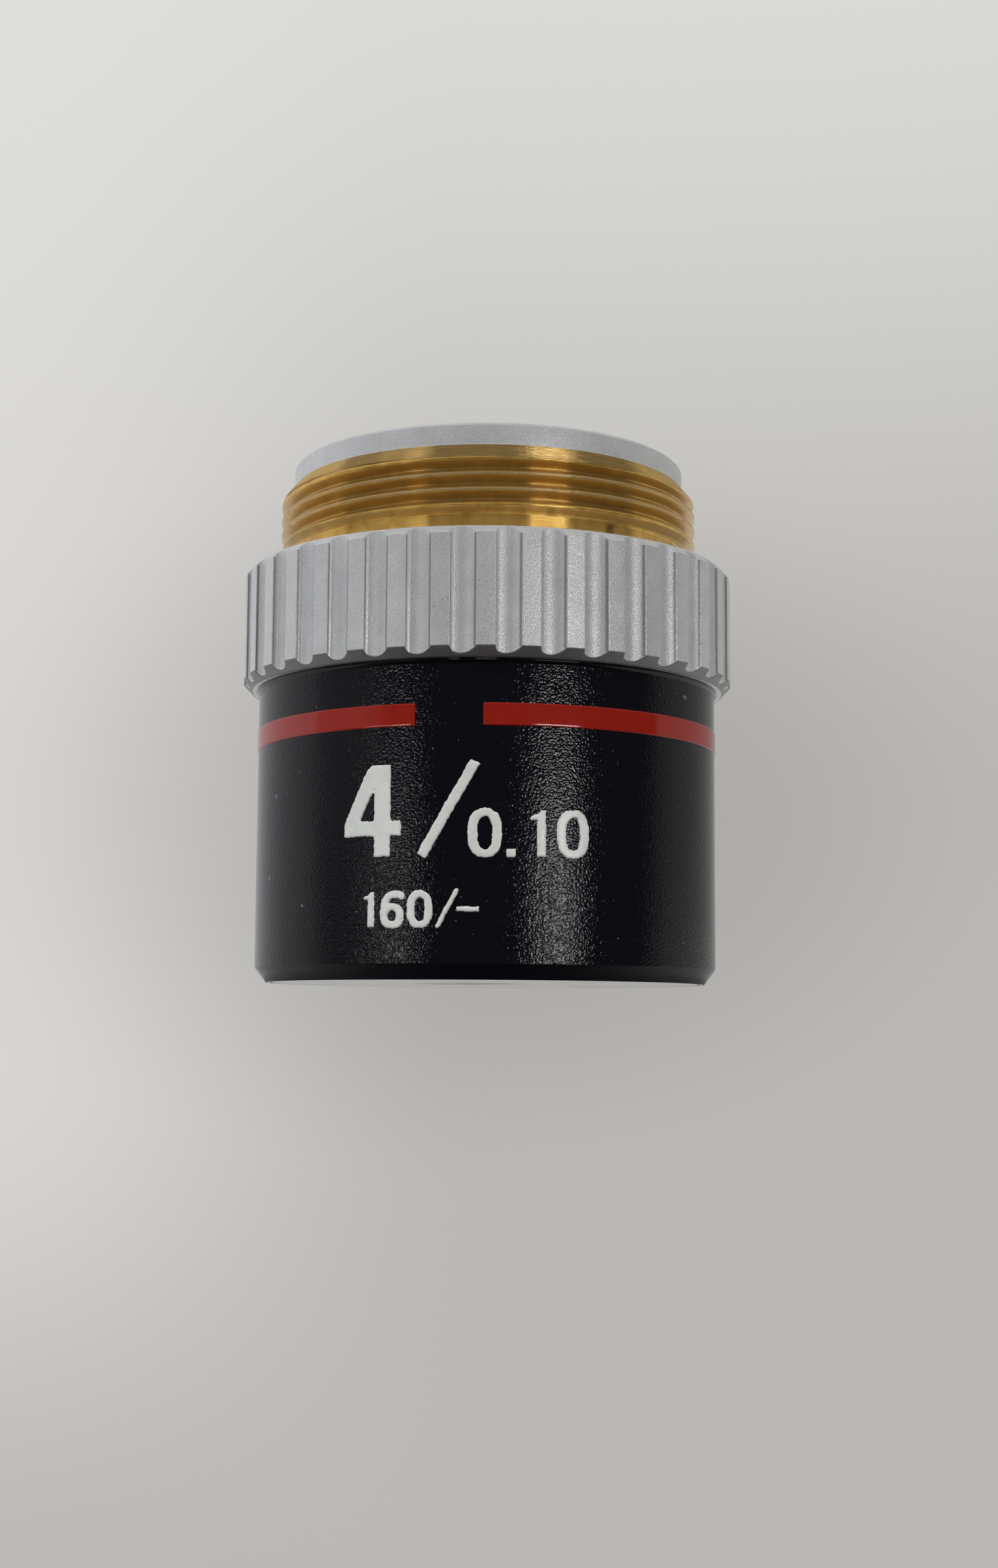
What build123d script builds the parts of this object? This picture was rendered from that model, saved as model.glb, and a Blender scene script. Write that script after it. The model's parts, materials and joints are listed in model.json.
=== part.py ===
from build123d import *
from math import sqrt
import os

# Microscope objective of low power, for a 160 mm tube. Millimetres.
# Z runs along the optical axis, from the nose that faces the specimen up to the mounting thread.
# The origin is the centre of the nose face, on which the objective stands.
# Angles about the axis are in degrees, from the front at -Y towards +X.

# Mounting thread end, up from the shoulder that sets the focus
shoulder_height = 19.70
thread_end_length = 5.20
thread_radius = 10.08            # major radius, 0.800 inch by 36 to the inch
neck_relief = 0.48
neck_length = 0.97
neck_taper = 0.28
pilot_relief = 0.62
pilot_length = 1.02
lead_in_length = 0.74
rim_wall = 1.16
rim_chamfer = 0.12
bore_chamfer = 0.35

# Fluted grip ring, one piece with the thread end
grip_step = 0.775                # out from the barrel
grip_height = 5.77
grip_top_chamfer = 0.36
grip_bottom_chamfer = 0.40
flute_count = 37
flute_width = 1.155
flute_depth = 0.305
flute_floor_radius = 1.00        # the round floor of a flute
flute_corner_radius = 0.24       # between its floor and its steep wall
flute_lean = 0.12                # its deepest line lies this far from its middle
land_turn = -0.27                # the land nearest the front

# Outer barrel and the spigot that carries it
spigot_wall = 1.90
spigot_length = 4.40
spigot_chamfer = 0.30
spigot_clearance = 0.05
barrel_wall = 0.75
lip_proud = 0.13                 # rim under the grip ring
lip_height = 0.10
lip_taper = 0.18
nose_chamfer_width = 0.55
nose_chamfer_height = 0.67

# Enamel colour band, open over a short stretch of the front
band_drop = 1.96                 # below the grip ring
band_height = 1.01
band_depth = 0.10
band_proud = 0.03
band_gap_start = -16.5
band_gap_end = -0.8

# Lens barrel
lens_barrel_play = 0.05
lens_barrel_wall = 1.75
lens_barrel_drop = 0.60          # its rear end below the shoulder
lens_barrel_chamfer = 0.25
collar_clearance = 0.10
front_collar_height = 3.20
seat_collar_height = 2.60
waist_depth = 0.85
nose_lip = 0.90                  # covers the edge of the front lens
nose_opening_bevel = 0.15
nose_wall = 1.10

# Focus shims between the lens barrel's seat and the spigot
thick_shim_thickness = 0.20
thin_shim_thickness = 0.10
shim_bore_clearance = 0.10
shim_rim_inset = 0.25

# Front cell and its cemented pair
cell_play = 0.02
cell_floor = 0.50
lens_play = 0.02
front_cell_wall = 2.26
front_ring_height = 0.80         # the ring that bears on the crown
front_lip = 0.55
front_flint_thickness = 1.10
front_crown_edge = 1.40
front_lens_curve = 57.8

# Rear cell and its cemented pair
rear_cell_wall = 0.76
rear_ring_height = 1.75
rear_lip = 0.60
rear_flint_thickness = 1.40
rear_crown_edge = 0.90
rear_lens_curve = 16.7

# Aperture stop, and the spacer tube that fills the rest between the cells
stop_thickness = 0.30
stop_inset = 1.45                # in from the edge of the front lens
spacer_wall = 0.98
baffle_groove_pitch = 1.00
baffle_groove_depth = 0.30
baffle_groove_width = 0.60

# Threaded rings, each with two slots for a pin spanner
ring_play = 0.03
lens_ring_wall = 0.75            # leaves the crown open inside it
stack_ring_height = 0.90
stack_ring_wall = 1.07
jam_ring_height = 1.00
jam_ring_wall = 1.57
spanner_slot_width = 0.80
spanner_slot_depth = 0.40

# Glare baffle in the rear port
baffle_play = 0.02
baffle_web = 2.38                # from its rim in to its opening
baffle_thickness = 0.25
baffle_rim_height = 0.50
baffle_rim_wall = 0.35

# Radii, out from the thread and in from the bore
neck_radius = thread_radius - neck_relief
pilot_radius = thread_radius - pilot_relief
bore_radius = pilot_radius - rim_wall
spigot_radius = bore_radius + spigot_wall
barrel_bore_radius = spigot_radius + spigot_clearance
barrel_radius = barrel_bore_radius + barrel_wall
grip_radius = barrel_radius + grip_step
collar_radius = barrel_bore_radius - collar_clearance
shank_radius = bore_radius - lens_barrel_play
cell_bore_radius = shank_radius - lens_barrel_wall
cell_radius = cell_bore_radius - cell_play
front_lens_radius = cell_radius - front_cell_wall - lens_play
rear_lens_radius = cell_radius - rear_cell_wall - lens_play
nose_opening_radius = front_lens_radius - nose_lip
stop_radius = front_lens_radius - stop_inset


def sag(curve, radius):
    """How far a spherical face falls away from its vertex at a radius."""
    return curve - sqrt(curve ** 2 - radius ** 2)


def pair_seat(curve, radius, flint_thickness, crown_edge):
    """Crown thickness, and how far above its cell a pair meets the ring that holds it."""
    crown_thickness = crown_edge + 2 * sag(curve, radius)
    vertex = cell_floor + flint_thickness + crown_thickness
    return crown_thickness, vertex - sag(curve, radius - lens_ring_wall)


# Thicknesses of the lenses and heights of their cells
front_crown_thickness, front_ring_seat = pair_seat(
    front_lens_curve, front_lens_radius, front_flint_thickness, front_crown_edge)
rear_crown_thickness, rear_ring_seat = pair_seat(
    rear_lens_curve, rear_lens_radius, rear_flint_thickness, rear_crown_edge)
front_cell_height = front_ring_seat + front_ring_height
rear_cell_height = rear_ring_seat + rear_ring_height

# Places along the axis
top_height = shoulder_height + thread_end_length
grip_bottom = shoulder_height - grip_height
band_top = grip_bottom - band_drop
spigot_bottom = grip_bottom - spigot_length
thin_shim_bottom = spigot_bottom - thin_shim_thickness
seat_height = thin_shim_bottom - thick_shim_thickness
lens_barrel_top = shoulder_height - lens_barrel_drop
stack_ring_bottom = lens_barrel_top - stack_ring_height
rear_cell_bottom = stack_ring_bottom - rear_cell_height
stop_bottom = nose_wall + front_cell_height
spacer_bottom = stop_bottom + stop_thickness
spacer_length = rear_cell_bottom - spacer_bottom
baffle_bottom = lens_barrel_top + jam_ring_height


def turned(outline, start=0, sweep=360):
    """A piece turned about the axis from an outline of radius and height pairs."""
    face = make_face(Polyline(*[(radius, 0, height) for radius, height in outline], close=True))
    return Rot(0, 0, start) * revolve(face, Axis.Z, sweep)


def spanner_ring(outer, bore, bottom, top):
    """A threaded ring with two slots across its top face."""
    ring = turned([(bore, bottom), (outer, bottom), (outer, top), (bore, top)])
    slots = Box(3 * outer, spanner_slot_width, 2 * spanner_slot_depth)
    return ring - Pos(0, 0, top) * slots


def lens_cell(bottom, height, lens_radius, lip):
    """A cup with a seat lip at its foot, for one cemented pair."""
    bore = lens_radius + lens_play
    opening = lens_radius - lip
    floor = bottom + cell_floor
    top = bottom + height
    return turned([(opening, bottom), (cell_radius, bottom), (cell_radius, top),
                   (bore, top), (bore, floor), (opening, floor)])


def cemented_pair(bottom, radius, flint_thickness, crown_thickness, curve):
    """The flint, flat towards the specimen, and the crown, curved alike on both faces."""
    joint = bottom + flint_thickness
    vertex = joint + crown_thickness
    edge_joint = joint + sag(curve, radius)
    edge_top = vertex - sag(curve, radius)
    half = radius / 2
    cemented_face = ThreePointArc((0, 0, joint), (half, 0, joint + sag(curve, half)), (radius, 0, edge_joint))
    rear_face = ThreePointArc((radius, 0, edge_top), (half, 0, vertex - sag(curve, half)), (0, 0, vertex))
    foot = Polyline((radius, 0, edge_joint), (radius, 0, bottom), (0, 0, bottom), (0, 0, joint))
    flint = revolve(make_face([cemented_face, foot]), Axis.Z)
    edge = Line((radius, 0, edge_joint), (radius, 0, edge_top))
    axis_line = Line((0, 0, vertex), (0, 0, joint))
    crown = revolve(make_face([cemented_face, edge, rear_face, axis_line]), Axis.Z)
    return flint, crown


def lens_ring(bottom, height, lens_radius):
    """The ring that holds a cemented pair in its cell and bears on the crown's rear face."""
    outer = lens_radius + lens_play - ring_play
    return spanner_ring(outer, lens_radius - lens_ring_wall, bottom, bottom + height)


def mount_body():
    """Thread end, fluted grip ring and spigot, turned from one bar."""
    thread_top = top_height - pilot_length
    neck_top = shoulder_height + neck_length
    body = turned([
        (bore_radius, spigot_bottom),
        (spigot_radius - spigot_chamfer, spigot_bottom),
        (spigot_radius, spigot_bottom + spigot_chamfer),
        (spigot_radius, grip_bottom),
        (grip_radius - grip_bottom_chamfer, grip_bottom),
        (grip_radius, grip_bottom + grip_bottom_chamfer),
        (grip_radius, shoulder_height - grip_top_chamfer),
        (grip_radius - grip_top_chamfer, shoulder_height),
        (neck_radius, shoulder_height),
        (neck_radius, neck_top),
        (thread_radius, neck_top + neck_taper),
        (thread_radius, thread_top - lead_in_length),
        (pilot_radius, thread_top),
        (pilot_radius, top_height - rim_chamfer),
        (pilot_radius - rim_chamfer, top_height),
        (bore_radius + bore_chamfer, top_height),
        (bore_radius, top_height - bore_chamfer)])
    floor_circle = Pos(flute_floor_radius - flute_depth, -flute_lean) * Circle(flute_floor_radius)
    profile = Rectangle(2 * flute_depth, flute_width) & floor_circle
    profile = fillet(profile.vertices().sort_by(Axis.X)[0], flute_corner_radius)
    cutter = Pos(grip_radius, 0, grip_bottom) * extrude(profile, grip_height)
    flutes = [Rot(0, 0, land_turn - 90 + (number + 0.5) * 360 / flute_count) * cutter
              for number in range(flute_count)]
    return body - flutes


def colour_band():
    """Enamel laid in the outer barrel, with its two ends apart at the front."""
    inner = barrel_radius - band_depth
    outer = barrel_radius + band_proud
    bottom = band_top - band_height
    outline = [(inner, bottom), (outer, bottom), (outer, band_top), (inner, band_top)]
    return turned(outline, band_gap_end - 90, 360 - (band_gap_end - band_gap_start))


def outer_barrel():
    """The painted tube round the lens barrel, screwed on the spigot."""
    lip_bottom = grip_bottom - lip_height
    tube = turned([
        (barrel_bore_radius, 0),
        (barrel_radius - nose_chamfer_width, 0),
        (barrel_radius, nose_chamfer_height),
        (barrel_radius, lip_bottom - lip_taper),
        (barrel_radius + lip_proud, lip_bottom),
        (barrel_radius + lip_proud, grip_bottom),
        (barrel_bore_radius, grip_bottom)])
    return tube - colour_band()


def lens_barrel():
    """The tube that holds the optics, screwed into the bore up to its seat."""
    waist_radius = collar_radius - waist_depth
    waist_top = seat_height - seat_collar_height
    return turned([
        (nose_opening_radius, nose_opening_bevel),
        (nose_opening_radius + nose_opening_bevel, 0),
        (collar_radius, 0),
        (collar_radius, front_collar_height),
        (waist_radius, front_collar_height),
        (waist_radius, waist_top),
        (collar_radius, waist_top),
        (collar_radius, seat_height),
        (shank_radius, seat_height),
        (shank_radius, lens_barrel_top - lens_barrel_chamfer),
        (shank_radius - lens_barrel_chamfer, lens_barrel_top),
        (cell_bore_radius, lens_barrel_top),
        (cell_bore_radius, nose_wall),
        (nose_opening_radius, nose_wall)])


def focus_shim(bottom, thickness):
    """A washer that sets how far the lens barrel screws in."""
    bore = shank_radius + shim_bore_clearance
    rim = spigot_radius - shim_rim_inset
    top = bottom + thickness
    return turned([(bore, bottom), (rim, bottom), (rim, top), (bore, top)])


def aperture_stop():
    """A thin disc with the hole that sets the aperture."""
    return turned([(stop_radius, stop_bottom), (cell_radius, stop_bottom),
                   (cell_radius, spacer_bottom), (stop_radius, spacer_bottom)])


def spacer_tube():
    """The tube between the cells, with grooves inside that trap stray light."""
    bore = cell_radius - spacer_wall
    groove_count = int(spacer_length / baffle_groove_pitch) - 1
    first_groove = (spacer_bottom + rear_cell_bottom - (groove_count - 1) * baffle_groove_pitch) / 2
    outline = [(cell_radius, rear_cell_bottom), (cell_radius, spacer_bottom), (bore, spacer_bottom)]
    for number in range(groove_count):
        middle = first_groove + number * baffle_groove_pitch
        outline += [(bore, middle - baffle_groove_width / 2),
                    (bore + baffle_groove_depth, middle),
                    (bore, middle + baffle_groove_width / 2)]
    return turned(outline + [(bore, rear_cell_bottom)])


def glare_baffle():
    """A shallow cup pressed into the rear port, on the jam ring."""
    outer = bore_radius - baffle_play
    inner = outer - baffle_rim_wall
    opening = outer - baffle_web
    floor = baffle_bottom + baffle_thickness
    top = baffle_bottom + baffle_rim_height
    return turned([(opening, baffle_bottom), (outer, baffle_bottom), (outer, top),
                   (inner, top), (inner, floor), (opening, floor)])


front_optics = (front_lens_radius, front_flint_thickness, front_crown_thickness, front_lens_curve)
rear_optics = (rear_lens_radius, rear_flint_thickness, rear_crown_thickness, rear_lens_curve)
front_flint, front_crown = cemented_pair(nose_wall + cell_floor, *front_optics)
rear_flint, rear_crown = cemented_pair(rear_cell_bottom + cell_floor, *rear_optics)
stack_ring_radius = cell_bore_radius - ring_play
jam_ring_radius = bore_radius - ring_play

pieces = {
    "mount_body": mount_body(),
    "outer_barrel": outer_barrel(),
    "colour_band": colour_band(),
    "lens_barrel": lens_barrel(),
    "thick_focus_shim": focus_shim(seat_height, thick_shim_thickness),
    "thin_focus_shim": focus_shim(thin_shim_bottom, thin_shim_thickness),
    "front_cell": lens_cell(nose_wall, front_cell_height, front_lens_radius, front_lip),
    "front_flint_lens": front_flint,
    "front_crown_lens": front_crown,
    "front_lens_ring": lens_ring(nose_wall + front_ring_seat, front_ring_height, front_lens_radius),
    "aperture_stop": aperture_stop(),
    "spacer_tube": spacer_tube(),
    "rear_cell": lens_cell(rear_cell_bottom, rear_cell_height, rear_lens_radius, rear_lip),
    "rear_flint_lens": rear_flint,
    "rear_crown_lens": rear_crown,
    "rear_lens_ring": lens_ring(rear_cell_bottom + rear_ring_seat, rear_ring_height, rear_lens_radius),
    "stack_ring": spanner_ring(stack_ring_radius, stack_ring_radius - stack_ring_wall,
                               stack_ring_bottom, lens_barrel_top),
    "jam_ring": spanner_ring(jam_ring_radius, jam_ring_radius - jam_ring_wall,
                             lens_barrel_top, baffle_bottom),
    "glare_baffle": glare_baffle(),
}

os.makedirs("parts", exist_ok=True)
for name, piece in pieces.items():
    export_step(piece, f"parts/{name}.step")
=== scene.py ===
import bpy
import bmesh
import json
import math
import numpy as np
from mathutils import Matrix, Vector


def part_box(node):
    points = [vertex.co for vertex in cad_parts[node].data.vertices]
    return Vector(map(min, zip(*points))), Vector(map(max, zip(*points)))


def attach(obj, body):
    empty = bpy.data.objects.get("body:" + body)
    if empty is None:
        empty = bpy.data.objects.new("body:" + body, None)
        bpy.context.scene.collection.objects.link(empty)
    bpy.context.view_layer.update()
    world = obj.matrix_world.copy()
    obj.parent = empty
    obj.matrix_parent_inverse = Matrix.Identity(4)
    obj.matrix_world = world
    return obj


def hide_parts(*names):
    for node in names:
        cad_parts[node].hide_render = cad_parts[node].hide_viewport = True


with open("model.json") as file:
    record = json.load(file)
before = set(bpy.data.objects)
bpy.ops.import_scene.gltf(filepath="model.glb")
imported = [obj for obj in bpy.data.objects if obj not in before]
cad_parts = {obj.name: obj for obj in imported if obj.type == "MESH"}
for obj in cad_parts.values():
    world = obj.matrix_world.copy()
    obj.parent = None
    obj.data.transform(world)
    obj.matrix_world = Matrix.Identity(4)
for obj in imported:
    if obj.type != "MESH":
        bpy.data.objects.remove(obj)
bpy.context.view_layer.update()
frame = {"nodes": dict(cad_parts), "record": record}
cadNodes = frame["nodes"]
mm = 0.001
front = -math.pi / 2                       # the polar angle that faces the camera, at -Y
print("frame loaded:", len(cadNodes), "nodes")


def onAxis(radius, height, angle):
    return (radius * math.cos(angle), radius * math.sin(angle), height)


# Shader building. A Value is a socket that takes part in sums, and a Board holds one node tree.
class Value:
    def __init__(self, board, socket):
        self.board = board
        self.socket = socket

    def calc(self, operation, *terms):
        return self.board.add("ShaderNodeMath", {"operation": operation}, dict(enumerate((self, *terms))))

    def __add__(self, other):
        return self.calc("ADD", other)

    def __sub__(self, other):
        return self.calc("SUBTRACT", other)

    def __mul__(self, other):
        return self.calc("MULTIPLY", other)

    def __pow__(self, other):
        return self.calc("POWER", other)

    def __radd__(self, other):
        return self + other

    def __rsub__(self, other):
        return self * -1 + other

    def __rmul__(self, other):
        return self * other

    def above(self, edge, soft=0.01):      # 0 below the edge, 1 above it
        return self.board.add("ShaderNodeMapRange", {"interpolation_type": "SMOOTHSTEP"},
                              {"Value": self, "From Min": edge - soft, "From Max": edge + soft})

    def below(self, edge, soft=0.01):
        return 1 - self.above(edge, soft)

    def between(self, low, high, soft=0.01):
        return self.above(low, soft) * self.below(high, soft)


class Board:
    def __init__(self, tree):
        self.tree = tree
        tree.nodes.clear()

    def add(self, kind, settings=None, values=None, out=0):
        node = self.tree.nodes.new(kind)
        for name, setting in (settings or {}).items():
            setattr(node, name, setting)
        for name, value in (values or {}).items():
            if isinstance(value, Value):
                self.tree.links.new(value.socket, node.inputs[name])
            else:
                node.inputs[name].default_value = value
        return Value(self, node.outputs[out]) if node.outputs else None

    def mix(self, amount, first, second):  # between two colours
        first, second = [c if isinstance(c, Value) else (*c, 1) for c in (first, second)]
        return self.add("ShaderNodeMix", {"data_type": "RGBA"}, {0: amount, 6: first, 7: second}, out=2)

    def millimetres(self, stretch=(1, 1, 1)):
        place = self.add("ShaderNodeTexCoord", out="Object")
        return self.add("ShaderNodeMapping", None, {"Vector": place, "Scale": [s / mm for s in stretch]})

    def noise(self, place, scale, detail=2.0, rough=0.5):
        return self.add("ShaderNodeTexNoise", None,
                        {"Vector": place, "Scale": scale, "Detail": detail, "Roughness": rough})

    def split(self, place):                # x, y and z
        node = self.add("ShaderNodeSeparateXYZ", None, {0: place}).socket.node
        return [Value(self, socket) for socket in node.outputs]

    def axes(self, place):                 # radius and height
        x, y, z = self.split(place)
        return (x * x + y * y) ** 0.5, z

    def marks(self, place, spots):         # 1 within each: degrees from the front, radius, height, size
        total = 0
        for turn, radius, height, size in spots:
            centre = onAxis(radius, height, front + math.radians(turn))
            away = self.add("ShaderNodeVectorMath", {"operation": "DISTANCE"}, {0: place, 1: centre},
                            out="Value")
            total = total + away.below(size, 0.35 * size)
        return total

    def shader(self, values, relief=None, depth=0.0):
        if relief is not None:
            bump = self.add("ShaderNodeBump", None,
                            {"Height": relief, "Strength": 1.0, "Distance": depth * mm})
            values = {**values, "Normal": bump}
        return self.add("ShaderNodeBsdfPrincipled", None, values)

    def surface(self, shader, other=None, share=0.0):
        if other is not None:
            shader = self.add("ShaderNodeMixShader", None, {0: share, 1: shader, 2: other})
        self.add("ShaderNodeOutputMaterial", None, {"Surface": shader})


def newFinish(name):
    material = bpy.data.materials.new(name)
    material.use_nodes = True
    return material, Board(material.node_tree)


# Finishes
platedLook = {
    "silver": (0.86, 0.87, 0.875),
    "silverShade": (0.65, 0.655, 0.66),
    "silverMetal": 0.56,
    "silverRough": 0.37,
    "grain": 18.0,                         # features per mm round the axis
    "drawnOut": 0.48,                      # share of that number along it
    "grainDepth": 0.017,                   # mm
    "blotches": 0.9,                       # features per mm
    "pits": 7.0,
    "pitDirt": 0.6,
    "pitsBelow": 23.9,                     # mm
    "soil": (0.20, 0.20, 0.19),
    "wallDirt": 0.75,                      # painted shade in the corners of the flutes
    "wallRadii": (11.66, 11.745),
    "wallHeights": (14.32, 19.32),
    "footSoil": (0.10, 0.085, 0.078),      # painted shade on the lower chamfer of the ring
    "footDirt": 0.8,
    "footHeights": (13.0, 14.4),
    "footCone": -2.595,                    # radius less height, mm
    "bore": 8.44,                          # blackened inside this radius, mm
    "black": (0.018, 0.018, 0.019),
}
threadLook = {
    "brass": (0.90, 0.56, 0.14),
    "stained": (0.58, 0.315, 0.06),
    # darker on the flanks and roots of the thread
    "grime": (0.46, 0.30, 0.10),
    "dull": (0.70, 0.48, 0.19),            # on the lead-in
    "worn": (0.54, 0.37, 0.18),
    "metal": 0.74,
    "rough": 0.22,
    "turning": 20.0,                       # marks per mm along the axis
    "turningDepth": 0.018,                 # mm
    "ridge": 3.9,                          # times deeper on the lead-in
    "low": 19.73,                          # where the plating is cut away, mm
    "high": 23.87,
    "inner": 8.9,
    "smoothBelow": 20.8,                   # the neck is turned finer
    "grimeLow": 20.75,
    "grimeHigh": 23.16,
    "crest": 10.066,                       # worn bright from this radius
    "grimeRadius": 10.02,
    "wornHeights": (21.4, 22.85),
    "ridges": 20,                          # per mm on the lead-in
    "spots": ((36.0, 9.6, 20.25, 0.42),),  # dark spot on the neck
    "spotColour": (0.10, 0.05, 0.02),
}


def silverShader(board, look, blackRadius=0.0):
    place = board.millimetres()
    radius, height = board.axes(place)
    grain = board.noise(board.millimetres((1, 1, look["drawnOut"])), look["grain"], 2.0, 0.6)
    frost = board.noise(place, look["grain"] * 1.3, 1.0)
    blotch = board.noise(place, look["blotches"], 2.0)
    pits = board.noise(place, look["pits"], 1.0).above(0.77, 0.02) * height.below(look["pitsBelow"])
    bore = radius.below(blackRadius, 0.02)
    silver = board.mix((frost - 0.5) * 3.5 + blotch, look["silverShade"], look["silver"])
    inner, outer = look["wallRadii"]
    # Painted shade on the steep walls near the edges of the flutes; the pits take the same colour as dirt.
    corner = radius.above(inner, 0.04) * radius.below(outer, 0.015) * height.between(*look["wallHeights"])
    silver = board.mix(corner * look["wallDirt"] + pits * look["pitDirt"], silver, look["soil"])
    # Painted shade on the lower chamfer of the ring, which faces down; there it is also less metallic.
    foot = (radius - height).above(look["footCone"], 0.02) * height.between(*look["footHeights"])
    silver = board.mix(foot * look["footDirt"], silver, look["footSoil"])
    silver = board.mix(bore, silver, look["black"])
    metal = look["silverMetal"] * (1 - bore) * (1 - foot * 0.3)
    rough = look["silverRough"] + (grain - 0.5) * 0.3 + bore * 0.15
    return board.shader({"Base Color": silver, "Metallic": metal, "Roughness": rough},
                        grain, look["grainDepth"])


def brassShader(board, look):
    place = board.millimetres()
    radius, height = board.axes(place)
    lathe = board.noise(board.millimetres((0.02, 0.02, 1)), look["turning"], 2.0, 0.6)
    stain = board.noise(place, 1.7, 3.0, 0.6)
    brass = board.mix((lathe - 0.5) * 0.6 + (stain - 0.5) * 2.4 + 0.35, look["brass"], look["stained"])
    # Darker on the flanks and roots of the thread.
    inThread = height.above(look["grimeLow"], 0.06) * height.below(look["grimeHigh"], 0.03)
    brass = board.mix(inThread * radius.below(look["grimeRadius"], 0.04) * 0.6, brass, look["grime"])
    leadIn = height.above(look["grimeHigh"], 0.02)
    brass = board.mix(leadIn * 0.7, brass, look["dull"])
    spots = board.marks(place, look["spots"]) * stain.above(0.45, 0.1)
    brass = board.mix(spots * 0.75, brass, look["spotColour"])
    chips = board.noise(place, 5.0, 4.0, 0.75)
    worn = (radius + (chips - 0.5) * 0.12).above(look["crest"], 0.008)
    worn = worn * height.between(*look["wornHeights"], 0.05)
    brass = board.mix(worn, brass, look["worn"])
    # The lower sides of the ridges stand upright.
    ridges = (height * look["ridges"] + lathe * 0.6).calc("FRACT") * leadIn
    relief = (lathe - 0.5) * (0.7 - height.below(look["smoothBelow"], 0.1) * 0.4) + ridges * look["ridge"]
    rough = look["rough"] + (stain - 0.5) * 0.1 + worn * 0.1
    return board.shader({"Base Color": brass, "Metallic": look["metal"] - worn * 0.2, "Roughness": rough,
                         "Anisotropic": 1.0, "Anisotropic Rotation": 0.25},
                        relief, look["turningDepth"])


def mountFinish(name, silverLook, brassLook):
    material, board = newFinish(name)
    radius, height = board.axes(board.millimetres())
    cut = height.above(brassLook["low"], 0.02) * height.below(brassLook["high"], 0.015)
    cut = cut * radius.above(brassLook["inner"])
    board.surface(silverShader(board, silverLook, silverLook["bore"]), brassShader(board, brassLook), cut)
    return material


def silverFinish(name, look):
    material, board = newFinish(name)
    board.surface(silverShader(board, look))
    return material


paintLook = {
    "colour": (0.0052, 0.0050, 0.0074),
    "dust": (0.16, 0.16, 0.17),
    "rough": 0.06,
    "gloss": 0.26,
    "pebble": 11.0,                        # features per mm
    "pebbleDepth": 0.016,                  # mm
    "smoothBelow": 0.66,                   # the nose chamfer is turned smooth, mm
    "smoothAbove": 13.74,
    "flecks": ((-61.0, 11.0, 8.4, 0.10), (-64.5, 11.0, 4.7, 0.11), (-48.0, 11.0, 3.3, 0.08),
               (54.7, 11.0, 13.0, 0.08), (55.5, 11.0, 12.98, 0.10)),
    "rubs": ((-7.4, 11.13, 13.83, 0.22), (-1.2, 11.13, 13.83, 0.26), (0.9, 11.13, 13.83, 0.24)),
    "rubRadius": 11.122,                   # the rim's edge, mm
}


def paintFinish(name, look):
    material, board = newFinish(name)
    place = board.millimetres()
    radius, height = board.axes(place)
    coated = height.above(look["smoothBelow"], 0.02) * height.below(look["smoothAbove"], 0.05)
    pebbles = board.noise(place, look["pebble"], 0.0)
    fine = board.noise(place, look["pebble"] * 1.8, 1.0)
    relief = (pebbles * 0.85 + fine * 0.15) * (coated * 0.95 + 0.05)
    specks = board.noise(place, 7.0, 0.0).above(0.86, 0.01) * coated
    rubbed = board.marks(place, look["rubs"]) * radius.above(look["rubRadius"], 0.004) * 0.4
    bright = specks * 0.8 + board.marks(place, look["flecks"]) * fine.above(0.4, 0.1) + rubbed
    colour = board.mix(bright, look["colour"], look["dust"])
    rough = look["rough"] + (fine - 0.5) * 0.12
    values = {"Base Color": colour, "Roughness": rough, "Specular IOR Level": look["gloss"]}
    board.surface(board.shader(values, relief, look["pebbleDepth"]))
    return material


enamelLook = {
    "colour": (0.37, 0.016, 0.006),
    "shade": (0.32, 0.012, 0.005),
    "rough": 0.08,
    "depth": 0.002,                        # mm
    "waves": 2.4,                          # features per mm
    "spots": 9.0,
}
markingLook = {
    **enamelLook,
    "colour": (0.86, 0.88, 0.835),
    "shade": (0.78, 0.80, 0.76),
    "rough": 0.26,
    "depth": 0.010,
}


def enamelFinish(name, look):
    material, board = newFinish(name)
    place = board.millimetres()
    wave = board.noise(place, look["waves"], 2.0)
    spot = board.noise(place, look["spots"], 1.0)
    tone = board.mix((wave - 0.5) * 1.5 + (spot - 0.5) * 0.8 + 0.5, look["colour"], look["shade"])
    values = {"Base Color": tone, "Roughness": look["rough"] + (spot - 0.5) * 0.1}
    board.surface(board.shader(values, wave * 0.7 + spot * 0.3, look["depth"]))
    return material


# Turned metal inside: blackened, or left as brass
blackenedLook = {
    "colour": (0.012, 0.012, 0.013),
    "shade": (0.0384, 0.0384, 0.0416),
    "turning": 14.0,                       # marks per mm along the axis
    "clouds": 1.5,                         # features per mm
    "tone": (0.8, 1.4, 0.4),               # share of the marks, of the clouds, and the middle
    "metal": 0.3,
    "rough": 0.55,
    "depth": 0.006,                        # mm
}
turnedLook = {
    "colour": threadLook["brass"],
    "shade": threadLook["stained"],
    "turning": 18.0,
    "clouds": 1.4,
    "tone": (1.2, 1.6, 0.3),
    "metal": 1.0,
    "rough": 0.28,
    "depth": 0.005,
}


def turnedFinish(name, look):
    material, board = newFinish(name)
    lathe = board.noise(board.millimetres((0.2, 0.2, 1)), look["turning"], 2.0)
    cloud = board.noise(board.millimetres(), look["clouds"], 3.0)
    marked, clouded, middle = look["tone"]
    share = (cloud - 0.5) * clouded + (lathe - 0.5) * marked + middle
    tone = board.mix(share, look["colour"], look["shade"])
    rough = look["rough"] + (lathe - 0.5) * 0.2
    board.surface(board.shader({"Base Color": tone, "Metallic": look["metal"], "Roughness": rough},
                               lathe, look["depth"]))
    return material


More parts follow.
